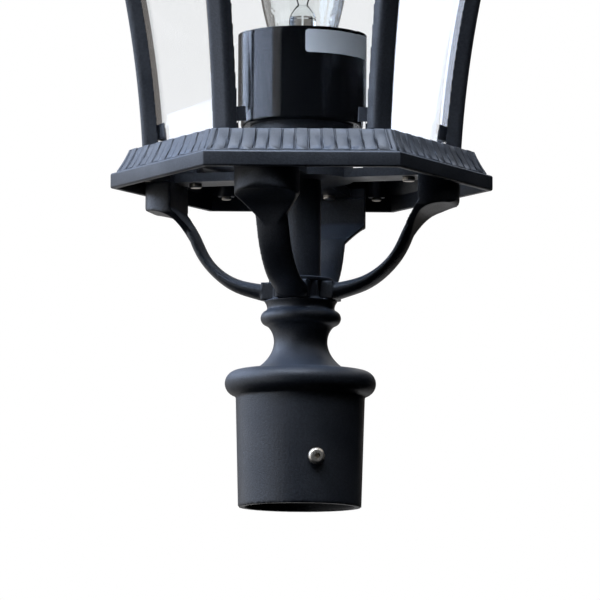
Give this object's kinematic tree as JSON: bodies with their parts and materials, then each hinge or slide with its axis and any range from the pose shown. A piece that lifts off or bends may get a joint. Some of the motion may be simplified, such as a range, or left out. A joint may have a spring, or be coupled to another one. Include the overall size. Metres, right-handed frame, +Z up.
{
  "type": "post top lantern",
  "caption": "Hexagonal garden lantern with curved bevelled panes, fluted base and scroll arms on a turned sleeve that fits over a round post.",
  "frame": {"origin": "centre of the fitter's open end, on the post socket's axis", "axes": "+Z up along the post socket's axis, -Y the front, square to one glass face"},
  "size_m": [0.2654, 0.23, 0.5332],
  "materials": {
    "powder_coat": "fine-textured satin powder coat on cast aluminium",
    "pane_glass": "clear float glass, bevelled",
    "stainless": "bright stainless steel",
    "zinc_steel": "zinc-plated steel",
    "cup_plastic": "glossy black moulded thermoset",
    "label_foil": "blank grey foil",
    "porcelain": "glazed porcelain",
    "brass": "plain brass",
    "solder": "dull solder",
    "cap_glass": "black glass insulator",
    "lamp_cap_metal": "rolled aluminium screw cap",
    "lamp_glass": "clear blown glass",
    "filament_wire": "drawn wire"
  },
  "bodies": {
    "base": {"fitter": "powder_coat", "arm_1": "powder_coat", "arm_2": "powder_coat", "arm_3": "powder_coat", "arm_4": "powder_coat", "clamp_washer": "powder_coat", "column": "powder_coat", "base_bridge": "powder_coat", "skirt": "powder_coat", "top_ring": "powder_coat", "threaded_tube": "zinc_steel", "tube_nuts": "zinc_steel", "arm_screws": "stainless", "bridge_screws": "stainless", "rib_foot_screws": "stainless", "rib_head_screws": "stainless", "glass_clips": "powder_coat", "holder_cup": "cup_plastic", "holder_label": "label_foil", "lampholder": "porcelain", "holder_shell": "brass", "holder_contact": "brass", "rib_1": "powder_coat", "glass_1": "pane_glass", "rib_2": "powder_coat", "glass_2": "pane_glass", "rib_3": "powder_coat", "glass_3": "pane_glass", "rib_4": "powder_coat", "glass_4": "pane_glass", "rib_5": "powder_coat", "glass_5": "pane_glass", "rib_6": "powder_coat", "glass_6": "pane_glass", "roof_studs": "stainless"},
    "roof": {"roof": "powder_coat", "crown": "powder_coat", "crown_strap": "zinc_steel", "crown_stud": "zinc_steel", "vent_cap": "powder_coat"},
    "finial": {"finial": "powder_coat"},
    "lamp": {"lamp_contact": "solder", "lamp_insulator": "cap_glass", "lamp_cap": "lamp_cap_metal", "lamp_glass": "lamp_glass", "lamp_stem": "lamp_glass", "lamp_filament": "filament_wire"},
    "set_screw_1": {"set_screw_1": "stainless"},
    "set_screw_2": {"set_screw_2": "stainless"},
    "roof_nut_1": {"roof_nut_1": "stainless"},
    "roof_nut_2": {"roof_nut_2": "stainless"},
    "roof_nut_3": {"roof_nut_3": "stainless"}
  },
  "joints": [
    {"name": "set_screw_1_travel", "type": "slide", "parent": "base", "child": "set_screw_1", "axis": [0.2504, -0.9681, 0], "range_m": [-0.0008, 0.004]},
    {"name": "set_screw_2_travel", "type": "slide", "parent": "base", "child": "set_screw_2", "axis": [-0.2504, 0.9681, 0], "range_m": [-0.0008, 0.004]},
    {"name": "roof_lift", "type": "slide", "parent": "base", "child": "roof", "axis": [0, 0, 1], "range_m": [0, 0.2]},
    {"name": "roof_nut_1_turn", "type": "hinge", "parent": "roof", "child": "roof_nut_1", "pos_m": [0.08227, -0.0475, 0.41], "axis": [0, 0, 1], "range_deg": [0, 2700]},
    {"name": "roof_nut_2_turn", "type": "hinge", "parent": "roof", "child": "roof_nut_2", "pos_m": [0, 0.095, 0.41], "axis": [0, 0, 1], "range_deg": [0, 2700]},
    {"name": "roof_nut_3_turn", "type": "hinge", "parent": "roof", "child": "roof_nut_3", "pos_m": [-0.08227, -0.0475, 0.41], "axis": [0, 0, 1], "range_deg": [0, 2700]},
    {"name": "finial_turn", "type": "hinge", "parent": "roof", "child": "finial", "pos_m": [0, 0, 0.5], "axis": [0, 0, 1], "range_deg": [0, 2880]},
    {"name": "lamp_turn", "type": "hinge", "parent": "base", "child": "lamp", "pos_m": [0, 0, 0.26], "axis": [0, 0, 1], "range_deg": [0, 1260]}
  ]
}
